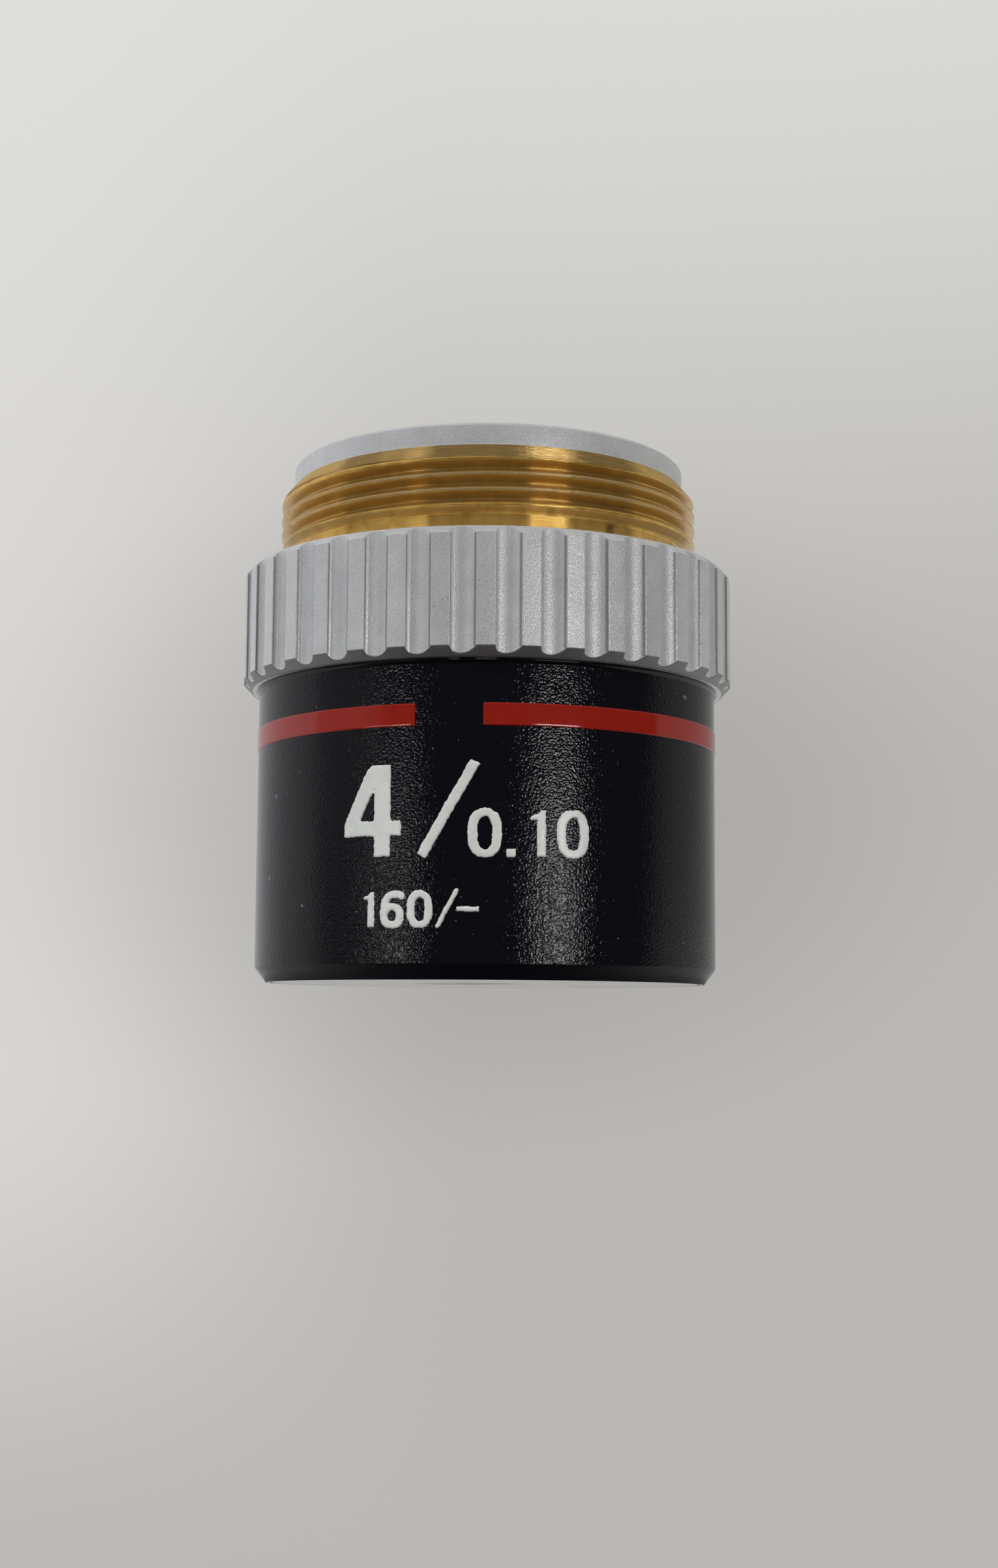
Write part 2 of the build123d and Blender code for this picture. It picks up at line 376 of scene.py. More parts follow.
glassLook = {
    "crownTint": (0.93, 0.96, 1.0),
    "crownIndex": 1.52,
    "flintTint": (0.95, 0.97, 0.94),
    "flintIndex": 1.62,
    "film": 6.0,                           # features per mm
    "coat": 0.35,
    "coatTint": (0.62, 0.55, 1.0),
}


def glassFinish(name, look, kind):
    material, board = newFinish(name)
    film = board.noise(board.millimetres(), look["film"], 3.0)
    board.surface(board.shader({"Base Color": (*look[kind + "Tint"], 1), "IOR": look[kind + "Index"],
                                "Roughness": film.above(0.78, 0.05) * 0.12, "Transmission Weight": 1.0,
                                "Coat Weight": look["coat"], "Coat Tint": (*look["coatTint"], 1),
                                "Coat Roughness": 0.02}))
    return material


nosePlateLook = {
    **platedLook,
    "silver": (0.70, 0.685, 0.65),
    "silverShade": (0.585, 0.57, 0.535),
}
finishes = {
    "plated_brass": mountFinish("platedBrass", platedLook, threadLook),
    "nose_plate": silverFinish("nosePlate", nosePlateLook),
    "bare_brass": turnedFinish("turnedBrass", turnedLook),
    "black_paint": paintFinish("blackPaint", paintLook),
    "red_enamel": enamelFinish("redEnamel", enamelLook),
    "marking": enamelFinish("markingPaint", markingLook),
    "blackened_brass": turnedFinish("blackenedBrass", blackenedLook),
    "crown_glass": glassFinish("crownGlass", glassLook, "crown"),
    "flint_glass": glassFinish("flintGlass", glassLook, "flint"),
}
print("finishes made:", len(finishes))


# Mesh building
def roundedOutline(corners, steps, closed=True):
    # Corners are radius, height and rounding. Each rounding becomes a short arc.
    points = [Vector(corner[:2]) for corner in corners]
    outline = []
    for number, (point, corner) in enumerate(zip(points, corners)):
        rounding = corner[2] if len(corner) > 2 else 0
        if not rounding or (not closed and number in (0, len(points) - 1)):
            outline.append(point)
            continue
        before = (points[number - 1] - point).normalized()
        after = (points[(number + 1) % len(points)] - point).normalized()
        half = before.angle(after) / 2
        centre = point + (before + after).normalized() * rounding / math.sin(half)
        first, last = (point + way * rounding / math.tan(half) - centre for way in (before, after))
        sweep = math.copysign(math.pi - 2 * half, first.x * last.y - first.y * last.x)
        for step in range(steps + 1):
            angle = sweep * step / steps
            turn = Matrix(((math.cos(angle), -math.sin(angle)), (math.sin(angle), math.cos(angle))))
            outline.append(centre + turn @ first)
    return outline


def addPiece(name, mesh, material, replaced=()):
    mesh.materials.clear()
    mesh.materials.append(material)
    piece = bpy.data.objects.new(name, mesh)
    bpy.context.scene.collection.objects.link(piece)
    if replaced:
        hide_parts(*replaced)
    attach(piece, "root")


def meshOf(name, points, faces):           # points in mm
    mesh = bpy.data.meshes.new(name)
    mesh.from_pydata([tuple(c * mm for c in point) for point in points], [], faces)
    return mesh


def modified(mesh, kind, settings=None, inputs=None):     # the mesh after one modifier
    holder = bpy.data.objects.new(mesh.name + "Holder", mesh)
    bpy.context.scene.collection.objects.link(holder)
    modifier = holder.modifiers.new("change", kind)
    for name, setting in (settings or {}).items():
        setattr(modifier, name, setting)
    for name, value in (inputs or {}).items():
        modifier[modifier.node_group.interface.items_tree[name].identifier] = value
    bpy.context.view_layer.update()
    made = bpy.data.meshes.new_from_object(holder.evaluated_get(bpy.context.evaluated_depsgraph_get()))
    bpy.data.objects.remove(holder)
    return made


def settleMesh(mesh, weld=0.00001):        # weld doubles, turn faces outwards, shade by area
    net = bmesh.new()
    net.from_mesh(mesh)
    bmesh.ops.remove_doubles(net, verts=net.verts, dist=weld * mm)
    bmesh.ops.dissolve_degenerate(net, edges=net.edges, dist=weld * mm)
    bmesh.ops.delete(net, geom=[edge for edge in net.edges if edge.is_wire], context="EDGES")
    bmesh.ops.recalc_face_normals(net, faces=net.faces)
    loose = sum(edge.is_boundary for edge in net.edges)
    net.to_mesh(mesh)
    net.free()
    mesh.shade_smooth()
    settled = modified(mesh, "WEIGHTED_NORMAL")
    print(" ", mesh.name, len(settled.polygons), "faces,", loose, "open edges")
    return settled


def turnedMesh(name, corners, segments=256, steps=3):
    outline = roundedOutline(corners, steps)
    rows = len(outline)
    angles = [2 * math.pi * column / segments for column in range(segments)]
    points = [onAxis(p.x, p.y, angle) for angle in angles for p in outline]
    faces = [(column * rows + row, (column + 1) % segments * rows + row,
              (column + 1) % segments * rows + (row + 1) % rows, column * rows + (row + 1) % rows)
             for column in range(segments) for row in range(rows)]
    return settleMesh(meshOf(name, points, faces))


# Grip ring: one flute with half a land on each side, which Geometry Nodes repeat round the axis
gripRing = {
    "radius": 11.775,
    "neck": 9.60,
    "shoulder": 19.70,
    "foot": 13.93,
    "topChamfer": 0.36,
    "footChamfer": 0.40,
    "flutes": 37,
    "fluteWidth": 1.155,
    "fluteDepth": 0.305,
    "fluteFloor": 1.00,                    # radii of its floor and of the corner under its steep wall
    "fluteCorner": 0.24,
    "fluteLean": 0.12,                     # from its middle to its deepest line
    "firstLand": -0.27,                    # degrees from the front
    "softness": 0.05,                      # of the long edges
    "edge": 0.035,
    "spigot": 10.20,
    "spigotFoot": 9.53,
    "spigotChamfer": 0.30,
    "bore": 8.30,
}


def heading(way):
    return math.atan2(way.y, way.x)


def arcPoints(centre, radius, start, end, steps):
    angles = [start + (end - start) * step / steps for step in range(1, steps + 1)]
    return [centre + radius * Vector((math.cos(angle), math.sin(angle))) for angle in angles]


def sectorColumns(ring):
    # Angle and radius of each column, from the middle of a land through a flute to the next
    rim, soft = ring["radius"], ring["softness"]
    floor = Vector((rim - ring["fluteDepth"] + ring["fluteFloor"], -ring["fluteLean"]))
    reach = ring["fluteFloor"] - ring["fluteCorner"]
    sink = math.asin((ring["fluteWidth"] / 2 - ring["fluteCorner"] - ring["fluteLean"]) / reach)
    wall = floor - reach * Vector((math.cos(sink), math.sin(sink)))
    edges = []
    for hollow, size, side in ((wall, ring["fluteCorner"], -1), (floor, ring["fluteFloor"], 1)):
        near, far = rim - soft, hollow.length
        turn = math.acos((near ** 2 + far ** 2 - (size + soft) ** 2) / (2 * near * far))
        turn = heading(hollow) + side * turn
        edges.append(near * Vector((math.cos(turn), math.sin(turn))))
    first, last = edges
    bends = [heading(way) % (2 * math.pi) for way in (first - wall, wall - floor, last - floor)]
    side = [rim * first.normalized()]
    side += arcPoints(first, soft, heading(first), heading(wall - first), 3)
    side += arcPoints(wall, ring["fluteCorner"], bends[0], bends[1], 5)
    side += arcPoints(floor, ring["fluteFloor"], bends[1], bends[2], 6)
    side += arcPoints(last, soft, heading(floor - last), heading(last), 3)
    border = math.pi / ring["flutes"]
    return [(-border, rim)] + [(heading(p), min(p.length, rim)) for p in side] + [(border, rim)]


def ringSector(ring):
    points, faces, rows = [], [], 0
    topStart = ring["radius"] - ring["topChamfer"]
    footStart = ring["radius"] - ring["footChamfer"]
    columns = sectorColumns(ring)
    for angle, rim in columns:
        small = min(ring["edge"], 0.45 * (rim - topStart), 0.45 * (rim - footStart))
        outline = roundedOutline([
            (ring["neck"], ring["shoulder"]),
            (topStart, ring["shoulder"], ring["edge"]),
            (rim, ring["shoulder"] - (rim - topStart), 1.4 * small),
            (rim, ring["foot"] + (rim - footStart), 1.4 * small),
            (footStart, ring["foot"], ring["edge"]),
            (ring["spigot"], ring["foot"]),
            (ring["spigot"], ring["spigotFoot"] + ring["spigotChamfer"]),
            (ring["spigot"] - ring["spigotChamfer"], ring["spigotFoot"]),
            (ring["bore"], ring["spigotFoot"])], 3, closed=False)
        rows = len(outline)
        points += [onAxis(p.x, p.y, angle) for p in outline]
    for column in range(len(columns) - 1):
        for row in range(rows - 1):
            start = column * rows + row
            faces.append((start, start + rows, start + rows + 1, start + 1))
    return meshOf("ringSector", points, faces)


def repeatTree():
    tree = bpy.data.node_groups.new("repeatRound", "GeometryNodeTree")
    tree.interface.new_socket("Sector", in_out="INPUT", socket_type="NodeSocketGeometry")
    inputs = {"Copies": "Int", "First Angle": "Float", "Weld": "Float", "Finish": "Material"}
    for name, kind in inputs.items():
        tree.interface.new_socket(name, in_out="INPUT", socket_type="NodeSocket" + kind)
    tree.interface.new_socket("Geometry", in_out="OUTPUT", socket_type="NodeSocketGeometry")
    inlet = tree.nodes.new("NodeGroupInput").outputs

    def step(kind, links, operation=None):
        node = tree.nodes.new(kind)
        if operation:
            node.operation = operation
        for socket, source in links.items():
            if hasattr(source, "is_linked"):
                tree.links.new(source, node.inputs[socket])
            else:
                node.inputs[socket].default_value = source
        return node.outputs[0] if node.outputs else None

    points = step("GeometryNodePoints", {"Count": inlet["Copies"]})
    spacing = step("ShaderNodeMath", {0: 2 * math.pi, 1: inlet["Copies"]}, "DIVIDE")
    number = step("GeometryNodeInputIndex", {})
    angle = step("ShaderNodeMath", {0: number, 1: spacing, 2: inlet["First Angle"]}, "MULTIPLY_ADD")
    turn = step("ShaderNodeCombineXYZ", {"Z": angle})
    copies = step("GeometryNodeInstanceOnPoints",
                  {"Points": points, "Instance": inlet["Sector"], "Rotation": turn})
    real = step("GeometryNodeRealizeInstances", {"Geometry": copies})
    welded = step("GeometryNodeMergeByDistance", {"Geometry": real, "Distance": inlet["Weld"]})
    faced = step("GeometryNodeSetMaterial", {"Geometry": welded, "Material": inlet["Finish"]})
    step("NodeGroupOutput", {0: faced})
    return tree


# Thread end: 0.800 inch by 36 turns to the inch, right-handed, with its helix in the mesh
threadEnd = {
    "crest": 10.08,
    "root": 9.628,
    "pitch": 0.7056,
    "crestAtFront": 22.41,                 # middle of one crest at the front, mm
    "neckTop": 20.67,
    "taperTop": 20.95,
    "leadIn": 23.14,
    "pilotFoot": 23.88,
    "pilot": 9.46,
    "top": 24.90,
    "rimChamfer": 0.12,
    "boreChamfer": 0.35,
    "edge": 0.03,
    "runOut": 0.16,                        # length over which the groove ends, mm
    "runOutTop": 0.12,                     # and how far over the lead-in's foot
    "snap": 0.004,                         # closer than this to an end is on it, mm
    "nick": 0.045,                         # in the crests, mm
    "seed": 4,
}
# Half of the thread's form, from mid crest to mid root: shares of the pitch and of the depth
threadForm = ((0.0, 0.0), (0.055, 0.0), (0.09, 0.04), (0.13, 0.14), (0.22, 0.38),
              (0.31, 0.64), (0.39, 0.88), (0.44, 0.975), (0.50, 1.0))


def threadMesh(thread, ring):
    columns = [flute * 2 * math.pi / ring["flutes"] + angle
               for flute in range(ring["flutes"]) for angle, radius in sectorColumns(ring)[:-1]]
    firstAngle = fluteTurn(ring)
    chance = np.random.default_rng(thread["seed"])
    nicks = np.maximum(chance.standard_normal(len(columns) * 8) - 1.9, 0) * thread["nick"]
    form = list(threadForm) + [(1 - share, depth) for share, depth in reversed(threadForm[1:-1])]
    turns = int((thread["pilotFoot"] - thread["neckTop"]) / thread["pitch"]) + 3
    deep = thread["crest"] - thread["root"]

    def envelope(height):
        if height < thread["taperTop"]:
            share = (height - thread["neckTop"]) / (thread["taperTop"] - thread["neckTop"])
            return ring["neck"] + share * (thread["crest"] - ring["neck"])
        share = max(height - thread["leadIn"], 0) / (thread["pilotFoot"] - thread["leadIn"])
        return thread["crest"] + share * (thread["pilot"] - thread["crest"])

    points, faces = [], []

    def circle(radius, height):
        points.extend(onAxis(radius, height, angle + firstAngle) for angle in columns)
        return range(len(points) - len(columns), len(points))

    def bridge(lower, upper):
        for number in range(len(columns)):
            after = (number + 1) % len(columns)
            faces.append((lower[number], lower[after], upper[after], upper[number]))

    foot = circle(ring["neck"], thread["neckTop"])
    head = circle(thread["pilot"], thread["pilotFoot"])
    heights = (ring["shoulder"], ring["shoulder"] + thread["edge"], thread["neckTop"] - thread["edge"])
    neckRows = [circle(ring["neck"], height) for height in heights] + [foot]
    for lower, upper in zip(neckRows, neckRows[1:]):
        bridge(lower, upper)
    grid = []
    for number, angle in enumerate(columns):
        # The first row of the first column is a crest at least a turn below the neck.
        rise = thread["pitch"] * ((angle + firstAngle - front) / (2 * math.pi) - turns + 2)
        column = []
        for turn in range(turns + 1):
            for share, depth in form:
                height = thread["crestAtFront"] + rise + (turn + share) * thread["pitch"]
                if height < thread["neckTop"] + thread["snap"]:
                    column.append(foot[number])
                elif height > thread["pilotFoot"] - thread["snap"]:
                    column.append(head[number])
                else:
                    column.append(len(points))
                    left = (thread["leadIn"] + thread["runOutTop"] - height) / thread["runOut"]
                    nick = nicks[turn * len(columns) + number] if depth < 0.1 else 0
                    cut = depth * deep * min(max(left, 0), 1) + nick
                    radius = min(envelope(height), thread["crest"] - cut)
                    points.append(onAxis(radius, height, angle + firstAngle))
        grid.append(column)
    for number, column in enumerate(grid):
        last = number == len(grid) - 1
        after = grid[0][len(form):] if last else grid[number + 1]
        for row in range(min(len(column), len(after)) - 1):
            loop = (column[row], after[row], after[row + 1], column[row + 1])
            corners = [c for place, c in enumerate(loop) if c != loop[place - 1]]
            if len(set(corners)) == len(corners) > 2:
                faces.append(corners)
    rim = roundedOutline([
        (thread["pilot"], thread["pilotFoot"]),
        (thread["pilot"], thread["pilotFoot"] + thread["edge"]),
        (thread["pilot"], thread["top"] - thread["rimChamfer"], thread["edge"]),
        (thread["pilot"] - thread["rimChamfer"], thread["top"], thread["edge"]),
        (ring["bore"] + thread["boreChamfer"], thread["top"], thread["edge"]),
        (ring["bore"], thread["top"] - thread["boreChamfer"], thread["edge"]),
        (ring["bore"], ring["spigotFoot"])], 3, closed=False)
    loops = [head] + [circle(p.x, p.y) for p in rim[1:]]
    for lower, upper in zip(loops, loops[1:]):
        bridge(lower, upper)
    return meshOf("threadEnd", points, faces)


def fluteTurn(ring):                       # the middle of the first flute, next to the front land
    return front + math.radians(ring["firstLand"]) + math.pi / ring["flutes"]


def joinedMesh(name, *meshes):
    net = bmesh.new()
    for mesh in meshes:
        net.from_mesh(mesh)
    joined = bpy.data.meshes.new(name)
    net.to_mesh(joined)
    net.free()
    return joined


ringMesh = modified(ringSector(gripRing), "NODES", {"node_group": repeatTree()}, {
    "Copies": gripRing["flutes"], "First Angle": fluteTurn(gripRing), "Weld": 0.001 * mm,
    "Finish": finishes["plated_brass"]})
mountMesh = settleMesh(joinedMesh("mountBody", ringMesh, threadMesh(threadEnd, gripRing)), 0.001)
addPiece("mountBody", mountMesh, finishes["plated_brass"], replaced=["mount_body"])
print("mount body made")


# Outer barrel, painted, with a small rim under the grip ring
barrel = {
    "radius": 11.00,
    "bore": 10.25,
    "top": 13.93,
    "lip": 0.13,
    "lipHeight": 0.10,
    "lipTaper": 0.12,
    "noseWidth": 0.55,
    "noseHeight": 0.67,
}
lipFoot = barrel["top"] - barrel["lipHeight"]
barrelMesh = turnedMesh("outerBarrel", [
    (barrel["bore"], 0, 0.02),
    (barrel["radius"] - barrel["noseWidth"], 0, 0.03),
    (barrel["radius"], barrel["noseHeight"], 0.06),
    (barrel["radius"], lipFoot - barrel["lipTaper"], 0.08),
    (barrel["radius"] + barrel["lip"], lipFoot, 0.03),
    (barrel["radius"] + barrel["lip"], barrel["top"], 0.03),
    (barrel["bore"], barrel["top"], 0.02)], 320)
addPiece("outerBarrel", barrelMesh, finishes["black_paint"], replaced=["outer_barrel"])

# Enamel band, with soft edges and ends
band = {
    "top": 11.97,
    "height": 1.01,
    "inner": 10.90,
    "proud": 0.045,
    "edge": 0.05,
    "plainFrom": 0.13,                     # rows this far from its edges keep the middle plain, mm
    "gapStart": -16.5,                     # degrees from the front
    "gapEnd": -0.8,
    "segments": 300,
}


def bandMesh(band, barrelRadius):
    outer, edge, plain = barrelRadius + band["proud"], band["edge"], band["plainFrom"]
    low, high = band["top"] - band["height"], band["top"]
    start = front + math.radians(band["gapEnd"])
    length = 2 * math.pi - math.radians(band["gapEnd"] - band["gapStart"])
    soft = edge / outer
    quarter = [step * math.pi / 8 for step in range(5)]
    ends = [(soft * (1 - math.cos(bend)), edge * (1 - math.sin(bend))) for bend in quarter]
    apart = (length - 2 * soft) / band["segments"]
    places = ends + [(soft + apart * step, 0) for step in range(1, band["segments"])]
    places += [(length - turn, sink) for turn, sink in reversed(ends)]
    points, faces, rows = [], [], 0
    for turn, sink in places:
        side = outer - sink
        outline = roundedOutline([
            (band["inner"], low + sink), (side, low + sink, edge), (side, low + plain),
            (side, high - plain), (side, high - sink, edge), (band["inner"], high - sink)], 4)
        rows = len(outline)
        points += [onAxis(p.x, p.y, start + turn) for p in outline]
    for column in range(len(places) - 1):
        for row in range(rows):
            under = (row + 1) % rows
            faces.append((column * rows + row, (column + 1) * rows + row,
                          (column + 1) * rows + under, column * rows + under))
    faces.append(list(range(rows)))
    faces.append(list(range(len(points) - 1, len(points) - rows - 1, -1)))
    return settleMesh(meshOf("colourBand", points, faces))


addPiece("colourBand", bandMesh(band, barrel["radius"]), finishes["red_enamel"],
         replaced=["colour_band"])
print("barrel and band made")


# Marking: magnification and aperture, and below them the tube length, in thick raised paint.
# Places are mm along the barrel from the front, and heights above the nose.
marking = {
    "cell": 0.032,                         # mesh size, mm
    "wrap": 11.05,                         # radius on which the places were taken
    "height": 0.065,
    "sunk": 0.03,
    "shoulderWidth": 0.13,
    "ragged": 0.010,                       # of its outline, mm
    "raggedCells": 1.6,
    "soften": 0.035,
    "swell": 0.10,                         # share of the height
    "swellCells": 5.0,
    "pinholes": 0.35,                      # per square mm
    "pinhole": 0.028,                      # mm
    "seed": 7,
}
squareness = 2.5                           # of the round figures; 2 is an ellipse
magnification = {
    "left": -6.62,
    "right": -3.77,
    "foot": 5.28,
    "top": 9.32,
    "stem": (-5.08, -4.27),                # its two sides
    "bar": (6.18, 6.88),
    "elbow": (0.20, 0.32),                 # where the slanted stroke meets the bar, in and up
    "crown": (0.38, 0.21),                 # and where it meets the top
    "opening": (0.70, 1.36),
}
upperLine = {
    "foot": 5.21,
    "height": 2.16,
    "overshoot": 0.04,                     # of a round figure past a straight one
    "stem": 0.43,
    "round": 1.53,                         # width of a nought
    "side": 0.46,                          # its strokes at the sides
    "cap": 0.39,                           # and at foot and top
}
lowerLine = {
    "foot": 2.17,
    "height": 1.66,
    "overshoot": 0.04,
    "stem": 0.35,
    "round": 1.18,
    "side": 0.38,
    "cap": 0.33,
    "bowl": (1.13, 1.10),                  # of the six: width and height
    "hook": (0.53, 0.70),                  # its turn: reach and rise
    "hookEnd": 60,                         # degrees
}
# The flag of a one, from the top left corner of its stem, in shares of its height
flag = ((0, -0.235), (-0.145, -0.23), (-0.12, -0.13), (0.034, -0.087), (0.082, 0))


def boxCorners(left, right, low, high):
    return [(left, low), (right, low), (right, high), (left, high)]


def edgeDistance(x, y, corners, closed=True):
    # Distance to the outline, and whether each point lies inside it
    away = np.full(x.shape, np.inf)
    inside = np.zeros(x.shape, bool)
    pairs = list(zip(corners, corners[1:] + corners[:1]))
    for (ax, ay), (bx, by) in pairs if closed else pairs[:-1]:
        dx, dy = bx - ax, by - ay
        along = np.clip(((x - ax) * dx + (y - ay) * dy) / (dx ** 2 + dy ** 2), 0, 1)
        away = np.minimum(away, np.hypot(x - ax - along * dx, y - ay - along * dy))
        if dy:
            inside ^= ((ay > y) != (by > y)) & (x < dx * (y - ay) / dy + ax)
    return away, inside


def areaOf(corners):
    def distance(x, y):
        away, inside = edgeDistance(x, y, corners)
        return np.where(inside, -away, away)
    return distance


def lineOf(corners, width):
    return lambda x, y: edgeDistance(x, y, corners, False)[0] - width / 2


def ovalOf(left, right, low, high):
    def distance(x, y):
        across = (2 * x - left - right) / (right - left)
        up = (2 * y - low - high) / (high - low)
        size = (np.abs(across) ** squareness + np.abs(up) ** squareness) ** (1 / squareness)
        return (size - 1) * min(right - left, high - low) / 2
    return distance


def without(outer, inner):
    return lambda x, y: np.maximum(outer(x, y), -inner(x, y))


def together(*shapes):
    return lambda x, y: np.minimum.reduce([shape(x, y) for shape in shapes])


def figureFour(four):
    left, right, foot, top = (four[name] for name in ("left", "right", "foot", "top"))
    (stemLeft, stemRight), (barLow, barHigh) = four["stem"], four["bar"]
    elbow, crown, opening = four["elbow"], four["crown"], four["opening"]
    outer = [(stemLeft - 0.4 * crown[0], top), (stemRight, top), (stemRight, barHigh), (right, barHigh),
             (right, barLow), (stemRight, barLow), (stemRight, foot), (stemLeft, foot), (stemLeft, barLow),
             (left, barLow), (left, barHigh - elbow[1] / 3), (left + elbow[0], barHigh + elbow[1]),
             (stemLeft - crown[0], top - crown[1])]
    inner = [(stemLeft, barHigh + opening[1]), (stemLeft, barHigh), (stemLeft - opening[0], barHigh),
             (stemLeft - 0.83 * opening[0], barHigh + 0.2 * opening[1])]
    return without(areaOf(outer), areaOf(inner))


def figureOne(left, line):
    foot = line["foot"] + line["overshoot"]
    top = line["foot"] + line["height"] - line["overshoot"]
    corners = [(left + across * (top - foot), top + up * (top - foot)) for across, up in flag]
    return areaOf([(left, foot)] + corners + [(left + line["stem"], top), (left + line["stem"], foot)])


def nought(left, line):
    right, top = left + line["round"], line["foot"] + line["height"]
    side, cap = line["side"], line["cap"]
    hole = ovalOf(left + side, right - side, line["foot"] + cap, top - cap)
    return without(ovalOf(left, right, line["foot"], top), hole)


def figureSix(left, line):
    width, height = line["bowl"]
    reach, rise = line["hook"]
    inset = line["stem"] / 2               # from the outline to the middle of the hook's stroke
    start, turn = left + inset, line["foot"] + line["height"] - inset - rise
    hook = [(start, line["foot"] + height / 2)]
    for angle in np.radians(np.linspace(180, line["hookEnd"], 7)):
        way = (math.cos(angle), math.sin(angle))
        across, up = (math.copysign(abs(part) ** (2 / squareness), part) for part in way)
        hook.append((start + reach * (1 + across), turn + rise * up))
    return together(nought(left, {**line, "round": width, "height": height}), lineOf(hook, line["stem"]))


def slantedBar(top, foot, width):
    top, foot = Vector(top), Vector(foot)
    side = (top - foot).orthogonal().normalized() * width / 2
    return [tuple(corner) for corner in (top + side, top - side, foot - side, foot + side)]


# Each glyph's shape, and the left, right, low and high sides of the box that its mesh is made in
glyphs = [
    (figureFour(magnification), (-6.7, -3.7, 5.2, 9.4)),
    (areaOf(slantedBar((-0.47, 9.40), (-2.85, 5.28), 0.48)), (-3.15, -0.2, 5.1, 9.6)),
    (nought(-0.82, upperLine), (-0.9, 0.8, 5.1, 7.5)),
    (areaOf(boxCorners(0.86, 1.29, 5.23, 5.62)), (0.8, 1.4, 5.15, 5.7)),
    (figureOne(2.21, upperLine), (1.85, 2.7, 5.2, 7.4)),
    (nought(3.10, upperLine), (3.0, 4.7, 5.1, 7.5)),
    (figureOne(-5.35, lowerLine), (-5.65, -4.9, 2.1, 3.9)),
    (figureSix(-4.73, lowerLine), (-4.8, -3.5, 2.05, 3.9)),
    (nought(-3.48, lowerLine), (-3.6, -2.2, 2.05, 3.95)),
    (lineOf([(-1.26, 3.80), (-2.09, 2.26)], 0.22), (-2.3, -1.05, 2.05, 4.0)),
    (areaOf(boxCorners(-1.28, -0.27, 2.88, 3.13)), (-1.35, -0.2, 2.8, 3.2)),
]


def smoothed(field, spread):
    reach = int(3 * spread) + 1
    weights = np.exp(-0.5 * (np.arange(-reach, reach + 1) / max(spread, 0.01)) ** 2)
    weights /= weights.sum()
    padded = np.pad(field, reach, "edge")
    padded = sum(w * padded[:, i:padded.shape[1] - 2 * reach + i] for i, w in enumerate(weights))
    return sum(w * padded[i:padded.shape[0] - 2 * reach + i] for i, w in enumerate(weights))


def glyphRelief(shape, limits, marking, chance, points, faces):
    left, right, low, high = limits
    cell = marking["cell"]
    xs, ys = np.arange(left, right, cell), np.arange(low, high, cell)
    x, y = np.meshgrid(xs, ys, indexing="ij")
    depth = smoothed(shape(x, y), marking["soften"] / cell)
    rough = smoothed(chance.standard_normal(x.shape), marking["raggedCells"])
    depth = depth + marking["ragged"] * rough / rough.std()
    slopeX, slopeY = np.gradient(depth, cell)
    slope = np.maximum(np.hypot(slopeX, slopeY), 0.3)
    depth = depth / slope
    swell = smoothed(chance.standard_normal(x.shape), marking["swellCells"])
    swell = 1 + marking["swell"] * swell / swell.std()
    rise = np.clip(-depth / marking["shoulderWidth"], 0, 1)
    lift = marking["height"] * swell * np.sqrt(1 - (1 - rise) ** 2)
    for hole in range(chance.poisson(marking["pinholes"] * (right - left) * (high - low))):
        holeX, holeY = chance.uniform(left, right), chance.uniform(low, high)
        lift *= 1 - 0.9 * np.exp(-((x - holeX) ** 2 + (y - holeY) ** 2) / marking["pinhole"] ** 2)
    border = depth > -0.35 * cell          # the points that are moved onto the outline
    lift[border] = 0
    snapped = np.where(border, depth, 0)
    x, y = x - snapped * slopeX / slope, y - snapped * slopeY / slope
    inside = depth < 0
    filled = (inside[:-1, :-1] | inside[1:, :-1] | inside[1:, 1:] | inside[:-1, 1:])
    filled &= ~(border[:-1, :-1] & border[1:, :-1] & border[1:, 1:] & border[:-1, 1:])
    index = {}

    def vertex(column, row, under):
        key = (column, row, under and not border[column, row])
        if key not in index:
            index[key] = len(points)
            raised = -marking["sunk"] if key[2] or border[column, row] else lift[column, row]
            angle = front + x[column, row] / marking["wrap"]
            points.append(onAxis(barrel["radius"] + raised, y[column, row], angle))
        return index[key]

    for column, row in zip(*np.nonzero(filled)):
        loop = [(column, row), (column + 1, row), (column + 1, row + 1), (column, row + 1)]
        faces.append([vertex(*c, False) for c in loop])
        faces.append([vertex(*c, True) for c in reversed(loop)])


def markingMesh(marking):
    chance = np.random.default_rng(marking["seed"])
    points, faces = [], []
    for shape, limits in glyphs:
        glyphRelief(shape, limits, marking, chance, points, faces)
    return settleMesh(meshOf("marking", points, faces))


addPiece("marking", markingMesh(marking), finishes["marking"])
print("marking made")


# Lenses. The faces at the cement stay a hair apart.
lenses = {
    "frontCurve": 57.8,
    "rearCurve": 16.7,
    "cement": 0.004,
    "edge": 0.03,
    "rings": 24,
}


def lensPair(end, lens):
    nodes = (end + "_flint_lens", end + "_crown_lens")
    flintLow, flintHigh, crownLow, crownHigh = (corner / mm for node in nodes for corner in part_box(node))
    radius, curve = flintHigh.x, lens[end + "Curve"]
    sags = [(r, curve - math.sqrt(curve ** 2 - r ** 2))
            for r in (radius * step / lens["rings"] for step in range(lens["rings"] + 1))]
    joint = [(r, crownLow.z + sag) for r, sag in sags]
    rear = [(r, crownHigh.z - sag) for r, sag in sags]
    flint = [(0, flintLow.z), (radius, flintLow.z, lens["edge"])]
    flint += [(r, z - lens["cement"]) for r, z in reversed(joint)]
    crown = joint + list(reversed(rear))
    for node, kind, outline in zip(nodes, ("flint", "crown"), (flint, crown)):
        name = end + kind.capitalize() + "Lens"
        slot = kind + "_glass"
        addPiece(name, turnedMesh(name, outline, 128), finishes[slot], replaced=[node])


